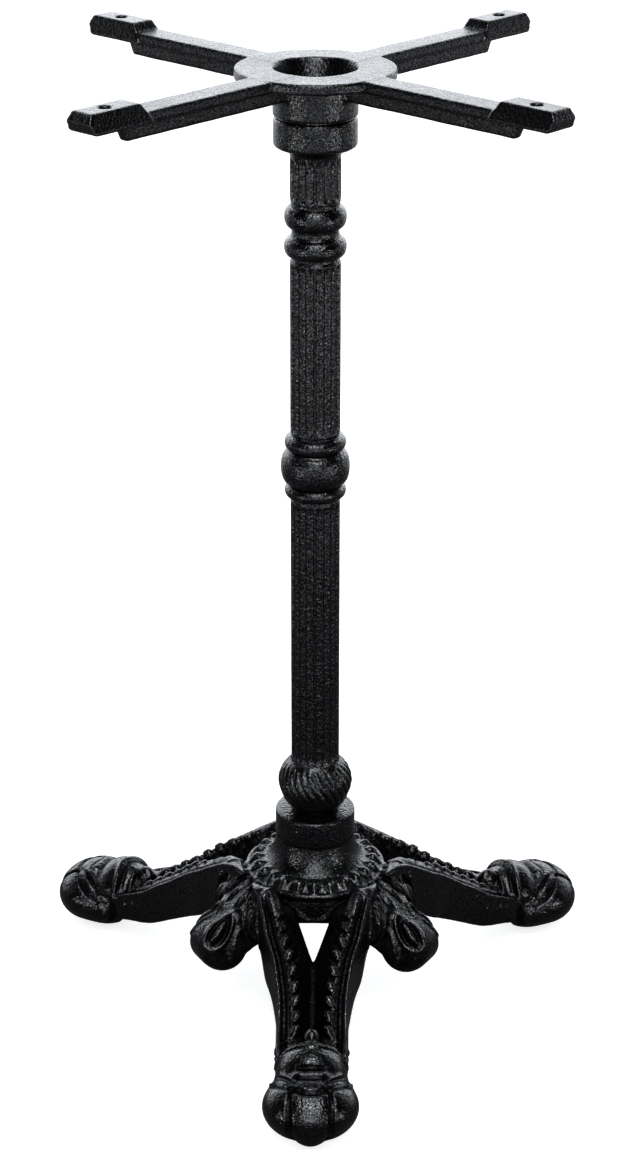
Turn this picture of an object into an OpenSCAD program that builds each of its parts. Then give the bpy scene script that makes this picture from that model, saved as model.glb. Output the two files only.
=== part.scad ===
// Three-legged cast pedestal for a small round or square table.
// The frame's origin is the centre of the tabletop screw pattern, in the plane
// of the four pads that carry the top; +Z is up and the front leg points to -Y,
// but for the small turn base_turn.
// Heights inside the modules are heights above the floor, and place() moves
// them into that frame.

/* [Overall] */
// Height of the pads' tops above the floor
total_h = 720; // [660:1:760]

// Turn of the column, the base and its feet against the spider, in degrees
base_turn = -2.4; // [-5:0.1:5]

/* [Top spider] */
// Distance between neighbouring tabletop screw holes, along X and along Y
screw_spacing = 270; // [250:1:300]
// Radius of a tabletop screw hole
screw_r = 4.1; // [3:0.1:5]
// Width of an arm's flange
arm_w = 22; // [18:1:26]
// Thickness of the flange and the ring
arm_t = 7.5; // [6:0.5:9]
// Radius of the ring around the centre
ring_r = 55; // [50:1:60]
// Radius of the ring's central opening at the top
ring_hole_r = 28.8; // [26:0.1:30]
// Height of the web below an arm
web_h = 11; // [8:1:14]
// Thickness of the web
web_t = 7; // [5:0.5:9]
// Height of a pad above the arm
pad_rise = 6; // [4:0.5:8]

/* [Column] */
// Radius of the fluted shaft
shaft_r = 17.8; // [16.5:0.1:19]
// Radius of the collar at the column's top
collar_r = 28.8; // [27:0.1:30]
// Radius of the bore through the column
column_bore_r = 11.5; // [8:0.5:12]
// Number of flutes around the shaft
flutes = 20; // [12:1:24]

/* [Paw base] */
// Radius of the hub's rim
rim_r = 52; // [48:1:56]
// Distance from the axis to the centre of a paw
paw_reach = 200; // [185:1:210]
// Gap between the paws' undersides and the floor
paw_gap = 3; // [2:0.5:5]
// Depth of the valley between the two bars of a leg
valley_d = 9; // [5:1:12]

/* [Tie rod] */
// Radius of the rod that clamps the three castings together
rod_r = 6; // [5:0.5:6]
// Radial clearance of the rod in the castings
rod_play = 0.5; // [0.3:0.1:1]

/* [Levelling feet] */
// Radius of a levelling stud
stud_r = 4; // [3:0.5:5]
// Radial clearance of the stud in its threaded hole
stud_play = 0.05; // [0.03:0.01:0.1]
// Radius of a floor glide
glide_r = 11; // [9:0.5:12]
// Height of a floor glide
glide_h = 7; // [6:0.5:8]
// Distance from the axis to a levelling stud
foot_reach = 195; // [185:1:200]

/* [Hidden] */
$fn = 64;

iron = "#1d1e21";
zinc = "#b9bcc0";
plastic = "#141414";

overlap = 1;      // how far a cut runs past a face, or a part sinks into its neighbour
hair = 0.01;      // the same, where only a hair is wanted

// Heights where the pieces meet
arm_top = total_h - pad_rise;        // top of the arms and the ring
arm_bottom = arm_top - arm_t;        // underside of the flange
boss_bottom = total_h - 38.4;        // underside of the spider's boss
boss_floor = boss_bottom + 5.4;      // floor inside the boss
column_top = boss_bottom - 1.2;      // top of the column's collar
column_seat = 154;                   // seat of the column on the hub
socket_bottom = column_seat - 10;    // bottom of the hub's socket
hub_ceiling = 132;                   // face the bottom nut clamps against

// Fits between the castings
seat_gap = 0.01;                     // thickness of paint between the collar and the boss
rod_hole_r = rod_r + rod_play;
spigot_r = 16;                       // column's lower end, in the hub's socket
centring_r = 22;                     // disc on the column's top, in the boss's recess
fit = 0.1;                           // radial clearance of both

front_leg = 270;
left_leg = 150;
right_leg = 30;
leg_angles = [front_leg, left_leg, right_leg];

// ------------------------------------------------------------ helpers
// points of a cubic curve from start to end, with two handles
function bezier(start, handle1, handle2, end, steps) =
    [for (i = [0:steps]) let (t = i / steps, u = 1 - t)
        u*u*u*start + 3*u*u*t*handle1 + 3*u*t*t*handle2 + t*t*t*end];
function reversed(points) = [for (i = [len(points)-1:-1:0]) points[i]];
function shifted(points, y) = [for (p = points) p + [0, y]];

module place() { translate([0, 0, -total_h]) children(); }

module on_leg(angle) { rotate([0, 0, angle + base_turn]) children(); }

module on_foot(angle) { on_leg(angle) translate([foot_reach, 0, 0]) children(); }

// a shape drawn as x = distance from the axis, y = height, width across
module upright(width) {
    rotate([90, 0, 0]) translate([0, 0, -width/2]) linear_extrude(width) children();
}

// the area between two curves that run the same way
module between(upper, lower) { polygon(concat(upper, reversed(lower))); }

// an upright cylinder that starts at height z
module disc(z, h, r) { translate([0, 0, z]) cylinder(h = h, r = r); }

module ring(z, h, outer_r, inner_r) {
    difference() {
        disc(z, h, outer_r);
        disc(z - overlap, h + 2*overlap, inner_r);
    }
}

// ------------------------------------------------------------ top spider
hole_reach = screw_spacing / sqrt(2);    // distance from the axis to a screw hole
arm_start = 25;
arm_length = 184;
pad_side_slope = 1.8;                    // how far a pad's side leans in
bowl_depth = 14;
boss_inner_r = 24.5;

// side outlines: [distance from the axis, height]
web_outline = [[24, arm_bottom - web_h], [176, arm_bottom - web_h],
               [181.5, arm_bottom + overlap], [24, arm_bottom + overlap]];
pad_outline = [[164.5, arm_bottom], [164.5, arm_top], [168.5, total_h],
               [210.5, total_h], [214, arm_top], [210, arm_bottom]];

// right half of a pad's cross-section, from the bottom: [across, height]
pad_side = [[arm_w/2, arm_bottom - overlap], [arm_w/2, arm_top],
            [arm_w/2 - pad_side_slope, total_h + hair]];

module on_arms() { for (angle = [45:90:315]) rotate([0, 0, angle]) children(); }

module spider_arm() {
    // flange
    translate([arm_start, -arm_w/2, arm_bottom]) cube([arm_length, arm_w, arm_t]);
    // web, cut back on a slant at its outer end
    upright(web_t) polygon(web_outline);
    // pad with sloping ends and sides
    intersection() {
        upright(arm_w) polygon(pad_outline);
        rotate([90, 0, 90]) translate([0, 0, 160]) linear_extrude(60)
            between([for (p = pad_side) [-p[0], p[1]]], pad_side);
    }
}

module top_spider() {
    color(iron) place() difference() {
        union() {
            disc(arm_bottom, arm_t, ring_r);
            disc(boss_bottom, arm_bottom - boss_bottom + overlap, collar_r + 0.3);
            on_arms() spider_arm();
        }
        // bowl-shaped opening above the clamping floor
        translate([0, 0, arm_top - bowl_depth])
            cylinder(h = bowl_depth + hair, r1 = boss_inner_r, r2 = ring_hole_r);
        disc(boss_floor, arm_top - bowl_depth - boss_floor + hair, boss_inner_r);
        // rod hole and the recess that centres the boss on the column
        disc(boss_bottom - overlap, 10, rod_hole_r);
        disc(boss_bottom - overlap, 2.2 + overlap, centring_r + fit);
        // tabletop screw holes
        on_arms() translate([hole_reach, 0, 0])
            disc(arm_bottom - overlap, arm_t + pad_rise + 2*overlap, screw_r);
    }
}

// ------------------------------------------------------------ column
barrel_z = 428;     // middle of the column's centre barrel
crown_r = 26.6;     // low step on the collar that touches the boss
flute_r = 2.2;      // radius of a flute
flute_offset = 1.5; // a flute's centre lies this far outside the shaft

// Turned profiles, from the bottom up: [radius, height]
foot_profile = concat(
    [[17.7, column_seat], [17.7, column_seat + 5]],
    bezier([19, column_seat + 7], [26, column_seat + 12],
           [29.2, column_seat + 24], [25.4, column_seat + 31], 8),
    [[22.2, column_seat + 37.4], [18.6, column_seat + 41], [17.2, column_seat + 43]]);
barrel_profile = concat(
    [[16.6, barrel_z - 25]],
    barrel_ring(barrel_z - 17.5),
    bead(barrel_z, 19.4, 24.6, 11.6, 10),
    barrel_ring(barrel_z + 17.5),
    [[17.6, barrel_z + 26]]);
upper_rings_profile = concat(
    [[16.5, 579]],
    bead(589.6, 16.8, 21.6, 7.4),
    bead(610.6, 16.8, 21.5, 8),
    [[17.2, 621.5]]);
collar_profile = [
    [17.6, 654], [18.6, 656.6], [27.4, 660.6], [collar_r, 662.4], [collar_r, column_top],
    [crown_r, column_top], [crown_r, boss_bottom - seat_gap]];

// half an ellipse that bulges from inner_r to outer_r, centred on height z
function bead(z, inner_r, outer_r, half_h, steps = 8) =
    [for (i = [0:steps]) let (angle = -90 + 180*i/steps)
        [inner_r + (outer_r - inner_r)*cos(angle), z + half_h*sin(angle)]];
function barrel_ring(z) = bead(z, 17.6, 21.7, 5.6);

// one length of fluted shaft
module fluted(z_start, z_end) {
    translate([0, 0, z_start]) linear_extrude(z_end - z_start) difference() {
        circle(shaft_r);
        for (i = [0:flutes-1]) rotate(i * 360 / flutes)
            translate([shaft_r + flute_offset, 0]) circle(flute_r, $fn = 24);
    }
}

// a profile turned about the axis, closed inside the bore that is cut later
module turned(profile) {
    inner_r = column_bore_r - 2;
    rotate_extrude() polygon(concat([[inner_r, profile[0][1]]], profile,
                                    [[inner_r, profile[len(profile)-1][1]]]));
}

module column() {
    color(iron) place() rotate([0, 0, base_turn]) difference() {
        union() {
            // spigot, just clear of the socket's bottom
            disc(socket_bottom + 0.4, 12, spigot_r);
            turned(foot_profile);
            fluted(column_seat + 42, barrel_z - 24.5);
            // centre barrel between two rings
            turned(barrel_profile);
            fluted(barrel_z + 24, 580);
            // two rings below the collar
            turned(upper_rings_profile);
            fluted(621, 657);
            // collar with a sloping underside
            turned(collar_profile);
            disc(column_top - 2, 5, centring_r);
        }
        disc(socket_bottom - overlap, 560, column_bore_r);
    }
}

// ------------------------------------------------------------ paw base
rim_top = 104;
rim_bottom = 83;
core_r = 4;         // start of the hub's profile, inside the rod hole

// Hub profile, down the outside and back up the inside: [radius, height]
hub_outer = concat(
    [[29.5, column_seat], [29.5, 132.7]],
    bezier([30.2, 130], [32, 124], [34, 117], [37, 114], 5),
    bezier([38.5, 116], [43, 119], [49, 114], [rim_r, rim_top], 7),
    [[rim_r, rim_bottom]]);
hub_inner = [
    [44, rim_bottom], [44, 95], [30, 103], [26, 109], [26, hub_ceiling],
    [core_r, hub_ceiling], [core_r, socket_bottom],
    [spigot_r + fit, socket_bottom], [spigot_r + fit, column_seat]];

module hub() { rotate_extrude() polygon(concat(hub_outer, hub_inner)); }

// Leg seen from the side: [distance from the axis, height]
leg_top = bezier([38, 112], [80, 110], [110, 52], [186, 36], 14);
leg_low = bezier([38, 74], [76, 62], [110, 32], [186, 10], 12);
// Half of the leg seen from above: [distance from the axis, half width]
plan_half = bezier([186, 25.5], [112, 20], [80, 26], [46, 64], 14);
plan_other_half = [for (p = plan_half) [p[0], -p[1]]];
leg_outline = concat([[34, 0], [34, -60]], reversed(plan_other_half), plan_half, [[34, 60]]);

// block sizes larger than the leg, so that only its outlines shape it
leg_block_w = 180;
leg_block_h = 200;

// throat: a wedge-shaped opening through the leg, half width at its start
throat_start = rim_r - 12;
throat_end = 88;
throat_half_w = 15;

// pocket in one bar, seen from above
bar_wall = 7;       // iron left outside and above a pocket
pocket_outer = [for (p = plan_half) if (p[0] > 60 && p[0] < 140) p - [0, bar_wall]];
pocket_inner = [for (p = pocket_outer)
    [p[0], max(4, (throat_end - p[0]) * throat_half_w / (throat_end - throat_start) + 6)]];

// the two bars of one leg as one webbed arm, before the paw is added
module leg_arm() {
    difference() {
        intersection() {
            upright(leg_block_w) between(leg_top, leg_low);
            linear_extrude(leg_block_h) polygon(leg_outline);
        }
        // valley between the bars
        upright(16) between(shifted(leg_top, 30), shifted(leg_top, -valley_d));
        // pockets cast into the underside of each bar
        intersection() {
            upright(leg_block_w)
                between(shifted(leg_top, -valley_d - bar_wall), shifted(leg_low, -30));
            for (side = [0, 1]) mirror([0, side, 0])
                linear_extrude(leg_block_h) between(pocket_outer, pocket_inner);
        }
        // open throat next to the hub
        linear_extrude(leg_block_h)
            polygon([[throat_start, -throat_half_w], [throat_end, -0.5],
                     [throat_end, 0.5], [throat_start, throat_half_w]]);
    }
}

// the rounded cap over the toes, wider than it is high: [radius, height]
toe_r = 33.5;
toe_half_h = 22;
toe_z = 25.5;
toe_cap = concat(
    [[0, 3.6]],
    [for (angle = [-75:15:75]) [toe_r * cos(angle), toe_z + toe_half_h * sin(angle)]],
    [[0, toe_z + toe_half_h]]);

// Balls: [place along the leg, height, radius]
// knuckle, heel and the small ball above the heel, from the paw's centre
paw_balls = [[-22, 32, 24.5], [-43, 26.5, 22], [-49, 43, 11]];
// scrolled lobe, from the axis
lobe_balls = [[80, 59, 19], [70, 76, 18], [60, 90, 15]];

module balls(list) { for (ball = list) translate([ball[0], 0, ball[1]]) sphere(r = ball[2]); }

// a lion's paw
module paw() {
    translate([paw_reach, 0, 0]) {
        rotate_extrude() polygon(toe_cap);
        balls(paw_balls);
    }
}

module paw_base() {
    color(iron) place() difference() {
        union() {
            difference() {
                union() {
                    for (angle = leg_angles) on_leg(angle) { leg_arm(); paw(); }
                    // a lobe where two neighbouring legs meet
                    for (angle = leg_angles) on_leg(angle + 60) balls(lobe_balls);
                }
                // room for the hub
                disc(rim_top, 30, rim_r - 0.4);
                disc(50, 60, rim_r - 3);
            }
            hub();
        }
        disc(hub_ceiling - 5, 30, rod_hole_r);
        // flat undersides, recesses for the glides and holes for the studs
        disc(paw_gap - 20, 20, 260);
        for (angle = leg_angles) on_foot(angle) {
            disc(-overlap, glide_h + 3.5 + overlap, glide_r + 1);
            disc(0, 40, stud_r + stud_play);
            // hollow under the knuckle
            translate([-31, 0, 0]) disc(-overlap, 34, 15);
        }
    }
}

// ------------------------------------------------------------ clamping hardware
washer_t = 2.5;
washer_hole_r = rod_r + 0.5;
spring_t = 3;
spring_r = 10;
slit_w = 1.2;
nut_t = 10;
nut_corner_r = 10.4;

// undersides of the stacked parts
top_spring_z = boss_floor + washer_t;
top_nut_z = top_spring_z + spring_t;
bottom_washer_z = hub_ceiling - washer_t;
bottom_spring_z = bottom_washer_z - spring_t;
bottom_nut_z = bottom_spring_z - nut_t;

rod_bottom = bottom_nut_z - 4;
rod_top = top_nut_z + nut_t - 0.5;

// a spring washer: a ring with a slit
module split_ring(z) {
    difference() {
        ring(z, spring_t, spring_r, rod_r + 0.2);
        translate([0, -slit_w/2, z - overlap]) cube([12, slit_w, spring_t + 2*overlap]);
    }
}

module hex_nut(z) {
    difference() {
        translate([0, 0, z]) cylinder(h = nut_t, r = nut_corner_r, $fn = 6);
        disc(z - overlap, nut_t + 2*overlap, rod_r + 0.05);
    }
}

module tie_rod() { color(zinc) place() disc(rod_bottom, rod_top - rod_bottom, rod_r); }
module top_washer() { color(zinc) place() ring(boss_floor, washer_t, 17, washer_hole_r); }
module top_spring_washer() { color(zinc) place() split_ring(top_spring_z); }
module top_nut() { color(zinc) place() hex_nut(top_nut_z); }
module bottom_washer() {
    color(zinc) place() ring(bottom_washer_z, washer_t, 20, washer_hole_r);
}
module bottom_spring_washer() { color(zinc) place() split_ring(bottom_spring_z); }
module bottom_nut() { color(zinc) place() hex_nut(bottom_nut_z); }

// ------------------------------------------------------------ levelling feet
head_z = 2.5;       // underside of a stud's head
head_t = 2;
head_r = 6.5;
head_top = head_z + head_t;
head_play = 0.1;    // clearance below and above the head
glide_play = 0.06;  // radial clearance of the stud in the glide
glide_edge_h = 1.5; // height of the glide's sloping edge

// a stud whose flat head is held in the glide's pocket
module stud(angle) {
    color(zinc) place() on_foot(angle) {
        disc(head_z, head_t, head_r);
        disc(head_top - 0.5, 31, stud_r);
    }
}

module glide(angle) {
    edge_z = glide_h - glide_edge_h;
    color(plastic) place() on_foot(angle) difference() {
        union() {
            disc(0, edge_z, glide_r);
            translate([0, 0, edge_z]) cylinder(h = glide_edge_h, r1 = glide_r, r2 = glide_r - 2);
        }
        disc(head_z - head_play, head_t + 2*head_play, head_r + glide_play);
        disc(head_top, 5, stud_r + glide_play);
    }
}

module stud_front() { stud(front_leg); }
module stud_left() { stud(left_leg); }
module stud_right() { stud(right_leg); }
module glide_front() { glide(front_leg); }
module glide_left() { glide(left_leg); }
module glide_right() { glide(right_leg); }

top_spider();
column();
paw_base();
tie_rod();
top_washer();
top_spring_washer();
top_nut();
bottom_washer();
bottom_spring_washer();
bottom_nut();
stud_front();
stud_left();
stud_right();
glide_front();
glide_left();
glide_right();
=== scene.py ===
import functools
import math

import bpy
import numpy as np
from mathutils import Matrix, Vector


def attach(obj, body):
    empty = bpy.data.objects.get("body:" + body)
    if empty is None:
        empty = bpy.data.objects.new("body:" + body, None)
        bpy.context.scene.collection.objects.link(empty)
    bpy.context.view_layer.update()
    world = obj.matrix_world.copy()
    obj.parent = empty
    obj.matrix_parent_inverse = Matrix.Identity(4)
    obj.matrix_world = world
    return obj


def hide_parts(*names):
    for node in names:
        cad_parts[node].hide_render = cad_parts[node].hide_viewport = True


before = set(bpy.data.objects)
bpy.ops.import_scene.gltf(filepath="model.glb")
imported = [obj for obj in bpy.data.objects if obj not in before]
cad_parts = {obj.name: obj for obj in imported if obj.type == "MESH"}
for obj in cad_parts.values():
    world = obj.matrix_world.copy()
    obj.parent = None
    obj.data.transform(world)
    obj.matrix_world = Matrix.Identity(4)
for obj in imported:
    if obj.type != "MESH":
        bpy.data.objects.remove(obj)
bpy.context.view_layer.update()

f4 = np.float32

TABLETOP = 720.0
TURN = math.radians(-2.4)
LEG_ANGLES = {"front": math.radians(270), "left": math.radians(150), "right": math.radians(30)}
STUD_OUT = 195.0          # from the axis to each glide stud

ROD_FOOT, ROD_HEAD = 112.5, 702.0
ROD_PITCH = 1.75
ROD_HOLE = 6.5            # radius of the clearance holes round the rod
WASHER_THICK = 2.5
SPRING_THICK = 3.0
NUT_HEIGHT = 10.0
BOWL_FLOOR = 687.0        # seat of the top washer, in the spider's bowl
HUB_CEILING = 132.0       # seat of the bottom washer, under the hub


# ------------------------------------------------------------------ distance fields
def smin(first, second, blend):
    """Union of two fields with a rounded joint."""
    near = np.clip(blend - np.abs(first - second), 0.0, None)
    return np.minimum(first, second) - near * near * (0.25 / blend)


def smax(first, second, blend):
    """Intersection of two fields with a rounded joint."""
    return -smin(-first, -second, blend)


def overlap(*fields):
    """Intersection of several fields with sharp joints."""
    return functools.reduce(np.maximum, fields)


def step(value, low, high):
    part = np.clip((value - low) / (high - low), 0.0, 1.0)
    return part * part * (3.0 - 2.0 * part)


def relax(values, rounds):
    """Smooths a row of values in place, keeping its ends."""
    for _ in range(rounds):
        values[1:-1] = (values[:-2] + 2 * values[1:-1] + values[2:]) / 4


def outline_distance(x, y, outline):
    """Signed distance of a closed polygon, negative inside."""
    squared = np.full(np.broadcast(x, y).shape, 1e9)
    inside = np.zeros(squared.shape, bool)
    for (start_x, start_y), (end_x, end_y) in zip(outline, outline[1:] + outline[:1]):
        edge_x, edge_y = end_x - start_x, end_y - start_y
        from_x, from_y = x - start_x, y - start_y
        length = max(edge_x * edge_x + edge_y * edge_y, 1e-9)
        part = np.clip((from_x * edge_x + from_y * edge_y) / length, 0, 1)
        here = (from_x - edge_x * part) ** 2 + (from_y - edge_y * part) ** 2
        squared = np.minimum(squared, here)
        if abs(edge_y) > 1e-9:
            spans = (start_y > y) != (end_y > y)
            inside ^= spans & (x < edge_x * (y - start_y) / edge_y + start_x)
    distance = np.sqrt(squared)
    return np.where(inside, -distance, distance).astype(f4)


def bezier(start, pull_start, pull_end, end, count):
    points = []
    for i in range(count + 1):
        t = i / count
        u = 1 - t
        points.append(tuple(
            u**3 * start[j] + 3 * u * u * t * pull_start[j] + 3 * u * t * t * pull_end[j]
            + t**3 * end[j] for j in (0, 1)))
    return points


def trilinear(values, origin, cell, points):
    """Values of a grid at points."""
    place = np.clip((points - origin) / cell, 0, np.array(values.shape) - 1.001)
    index = place.astype(int)
    part = place - index
    total = 0
    for corner in np.ndindex(2, 2, 2):
        along_x, along_y, along_z = np.where(corner, part, 1 - part).T
        total = total + along_x * along_y * along_z * values[tuple((index + corner).T)]
    return total


class Sector:
    """A signed distance field over half of one arm of a casting, one value per millimetre.

    Its axes run out along the arm, across it from its mirror plane, and up. The stations
    of a bead are (out, across, height, bead radius).
    """

    def __init__(self, shape, floor):
        self.shape = shape
        self.origin = np.array((0, 0, floor))
        self.out = np.arange(shape[0], dtype=f4)[:, None, None]
        self.across = np.arange(shape[1], dtype=f4)[None, :, None]
        self.z = (floor + np.arange(shape[2], dtype=f4))[None, None, :]
        self.field = np.full(shape, 50.0, f4)

    def join(self, shape, blend):
        self.field = smin(self.field, shape, blend)

    def cut(self, shape, blend=None):
        if blend is None:
            self.field = np.maximum(self.field, -shape)
        else:
            self.field = smax(self.field, -shape, blend)

    def window(self, low, high, pad):
        """Slices round a box, and the three axes within them."""
        spans = []
        for start, end, origin, count in zip(low, high, self.origin, self.shape):
            first = int(max(0, math.floor(start - pad - origin)))
            last = int(min(count, math.ceil(end + pad - origin) + 1))
            spans.append(slice(first, max(last, first)))
        axes = self.out[spans[0]], self.across[:, spans[1]], self.z[:, :, spans[2]]
        return tuple(spans), axes

    def put(self, window, distance, blend, cut):
        field = self.field[window]
        if cut:
            self.field[window] = smax(field, -distance, blend)
        else:
            self.field[window] = smin(field, distance, blend)

    def ball(self, centre, radii, blend, cut=False):
        low = [c - r for c, r in zip(centre, radii)]
        high = [c + r for c, r in zip(centre, radii)]
        window, axes = self.window(low, high, blend + 3)
        offsets = [(axis - c) / r for axis, c, r in zip(axes, centre, radii)]
        reach = np.sqrt(sum(o * o for o in offsets))
        slope = np.sqrt(sum((o / r) ** 2 for o, r in zip(offsets, radii))) + 1e-6
        self.put(window, reach * (reach - 1.0) / slope, blend, cut)

    def stroke(self, stations, blend, cut=False):
        """A bead of varying radius along a path."""
        stations = np.array(stations, float)
        points, radii = stations[:, :3], stations[:, 3]
        low = (points - radii[:, None]).min(0)
        high = (points + radii[:, None]).max(0)
        window, axes = self.window(low, high, blend + 3)
        nearest = np.inf
        for i in range(len(points) - 1):
            span = points[i + 1] - points[i]
            offsets = [axis - c for axis, c in zip(axes, points[i])]
            along = sum(o * c for o, c in zip(offsets, span)) / max(span @ span, 1e-6)
            along = np.clip(along, 0, 1)
            distance = np.sqrt(sum((o - c * along) ** 2 for o, c in zip(offsets, span)))
            distance = distance - (radii[i] + (radii[i + 1] - radii[i]) * along)
            nearest = np.minimum(nearest, distance)
        self.put(window, nearest, blend, cut)

    def at(self, points):
        return trilinear(self.field, self.origin, 1.0, points)

    def snapped(self, stations, lift):
        """Resamples a path every 3 mm or so and moves it to lie lift above the surface."""
        stations = np.array(stations, float)
        lengths = np.linalg.norm(np.diff(stations[:, :3], axis=0), axis=1)
        travelled = np.r_[0, np.cumsum(lengths)]
        places = np.linspace(0, travelled[-1], int(travelled[-1] / 3.0) + 1)
        fine = np.stack([np.interp(places, travelled, column) for column in stations.T], 1)
        path = fine[:, :3].copy()
        relax(path, 2)
        start = path.copy()
        for _ in range(8):
            height = self.at(path)
            slope = np.stack([(self.at(path + axis) - self.at(path - axis)) / 2
                              for axis in np.eye(3)], 1)
            steep = np.maximum((slope * slope).sum(1), 0.15)
            path = path - 0.8 * ((height - lift) / steep)[:, None] * slope
            path = start + np.clip(path - start, -7, 7)
        relax(path, 2)
        return np.column_stack([path, fine[:, 3]])

    def trace(self, blend, lift, stations):
        """A ridge along the surface that is already there, or a groove if lift is None."""
        groove = lift is None
        self.stroke(self.snapped(stations, 0.0 if groove else lift), blend, cut=groove)

    def swept(self, outline, reach, cells, per_mm):
        """Field of an outline of (reach, height) points, given each column's reach."""
        heights = self.origin[2] + np.arange(self.shape[2])
        table = outline_distance(np.arange(cells)[:, None] / per_mm, heights[None, :], outline)
        place = np.clip(reach[:, :, 0] * per_mm, 0, cells - 2.001)
        row = place.astype(int)
        part = (place - row).astype(f4)[:, :, None]
        return table[row] * (1 - part) + table[row + 1] * part


def fold(x, y, folds, first):
    """Distances out along and across the nearest arm; first is the angle of one arm."""
    radius = np.hypot(x, y)
    period = 2 * math.pi / folds
    angle = np.arctan2(y, x) - first
    angle = np.abs((angle + period / 2) % period - period / 2)
    return radius * np.cos(angle), radius * np.sin(angle)


def unfold(sector, folds, first, cell, low, high):
    """The whole casting's grid from its sector, as (values, origin, cell)."""
    xs, ys, zs = [np.arange(start, end + cell, cell) for start, end in zip(low, high)]
    out, across = fold(*np.meshgrid(xs, ys, indexing="ij"), folds, first)
    cells_out, cells_across, cells_up = sector.shape
    field = sector.field
    used = (out < cells_out - 2) & (across < cells_across - 2)
    # only the columns that pass near the casting are filled in
    used &= field.min(2)[np.clip(out, 0, cells_out - 2).astype(int),
                         np.clip(across, 0, cells_across - 2).astype(int)] < 4.0
    columns = np.argwhere(used)
    out, across = out[used], across[used]
    i, j = out.astype(int), across.astype(int)
    part_i, part_j = (out - i).astype(f4)[:, None], (across - j).astype(f4)[:, None]
    level = np.clip(zs - sector.origin[2], 0, cells_up - 1.001)
    k = level.astype(int)
    part_k = (level - k).astype(f4)
    values = np.full((len(xs), len(ys), len(zs)), 5.0, f4)
    for start in range(0, len(columns), 20000):
        c = slice(start, start + 20000)
        u, v = part_i[c], part_j[c]
        near = field[i[c], j[c]] * (1 - u) + field[i[c] + 1, j[c]] * u
        far = field[i[c], j[c] + 1] * (1 - u) + field[i[c] + 1, j[c] + 1] * u
        column = near * (1 - v) + far * v
        column = column[:, k] * (1 - part_k) + column[:, k + 1] * part_k
        values[columns[c, 0], columns[c, 1]] = column
    return np.clip(values, -5, 5), np.array(low, float), cell


def surface(values, origin, cell):
    """Vertices and quads of a grid's zero surface (naive surface nets)."""
    inside = values < 0
    count = np.zeros(tuple(n - 1 for n in values.shape), np.int8)
    for corner in np.ndindex(2, 2, 2):
        count += inside[tuple(slice(c, n - 1 + c) for c, n in zip(corner, values.shape))]
    cells = np.argwhere((count > 0) & (count < 8))
    index = np.full(count.shape, -1, np.int32)
    index[tuple(cells.T)] = np.arange(len(cells))
    corners = {c: values[tuple((cells + c).T)] for c in np.ndindex(2, 2, 2)}

    # each vertex is the mean of the crossings on its cell's edges
    total = np.zeros((len(cells), 3))
    hits = np.zeros(len(cells))
    for start, start_value in corners.items():
        for axis in range(3):
            if start[axis]:
                continue
            end = list(start)
            end[axis] = 1
            end_value = corners[tuple(end)]
            hit = (start_value < 0) != (end_value < 0)
            drop = np.where(hit, start_value - end_value, 1.0)
            point = np.zeros((len(cells), 3))
            point[:] = start
            point[:, axis] = np.where(hit, start_value / drop, 0.0)
            total += point * hit[:, None]
            hits += hit
    verts = (cells + total / hits[:, None]) * cell + origin

    # each grid edge that crosses the surface gives one quad
    quads = []
    for axis, (side, other) in enumerate([(1, 2), (2, 0), (0, 1)]):
        low = [slice(None)] * 3
        high = [slice(None)] * 3
        low[axis], high[axis] = slice(0, -1), slice(1, None)
        before, after = inside[tuple(low)], inside[tuple(high)]
        for leaving, mask in ((True, before & ~after), (False, ~before & after)):
            edges = np.argwhere(mask)
            edges = edges[(edges[:, side] > 0) & (edges[:, other] > 0)
                          & (edges[:, side] < count.shape[side])
                          & (edges[:, other] < count.shape[other])]
            ring = []
            for side_shift, other_shift in ((-1, -1), (0, -1), (0, 0), (-1, 0)):
                around = edges.copy()
                around[:, side] += side_shift
                around[:, other] += other_shift
                ring.append(index[tuple(around.T)])
            quads.append(np.stack(ring if leaving else ring[::-1], 1))
    return verts, np.concatenate(quads)


# ------------------------------------------------------------------ meshes
def turned(points, angle):
    """Points turned about Z."""
    c, s = math.cos(angle), math.sin(angle)
    x, y, z = points.T
    return np.stack([x * c - y * s, x * s + y * c, z], 1)


def to_object(name, verts, faces, turn=0.0, triangles=None, smooth=True):
    """A mesh object in the row frame, thinned to a number of triangles if one is given."""
    verts = turned(np.array(verts, float), turn)
    verts[:, 2] -= TABLETOP
    verts *= 0.001
    mesh = bpy.data.meshes.new(name)
    if isinstance(faces, np.ndarray):
        sides = faces.shape[1]
        mesh.vertices.add(len(verts))
        mesh.vertices.foreach_set("co", verts.astype(f4).ravel())
        mesh.loops.add(faces.size)
        mesh.loops.foreach_set("vertex_index", faces.ravel().astype(np.int32))
        mesh.polygons.add(len(faces))
        mesh.polygons.foreach_set("loop_start", np.arange(0, faces.size, sides, dtype=np.int32))
        mesh.update(calc_edges=True)
        mesh.validate()
    else:
        mesh.from_pydata([tuple(p) for p in verts], [], faces)
        mesh.update()
    ob = bpy.data.objects.new(name, mesh)
    bpy.context.scene.collection.objects.link(ob)
    if triangles and len(mesh.polygons) * 2 > triangles:
        thinner = ob.modifiers.new("thin", "DECIMATE")
        thinner.ratio = triangles / (len(mesh.polygons) * 2.0)
        depsgraph = bpy.context.evaluated_depsgraph_get()
        thin = bpy.data.meshes.new_from_object(ob.evaluated_get(depsgraph), depsgraph=depsgraph)
        ob.modifiers.clear()
        ob.data = thin
        thin.name = name
        thin.validate()
        bpy.data.meshes.remove(mesh)
        mesh = thin
    mesh.polygons.foreach_set("use_smooth", [smooth] * len(mesh.polygons))
    mesh.update()
    return ob


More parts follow.
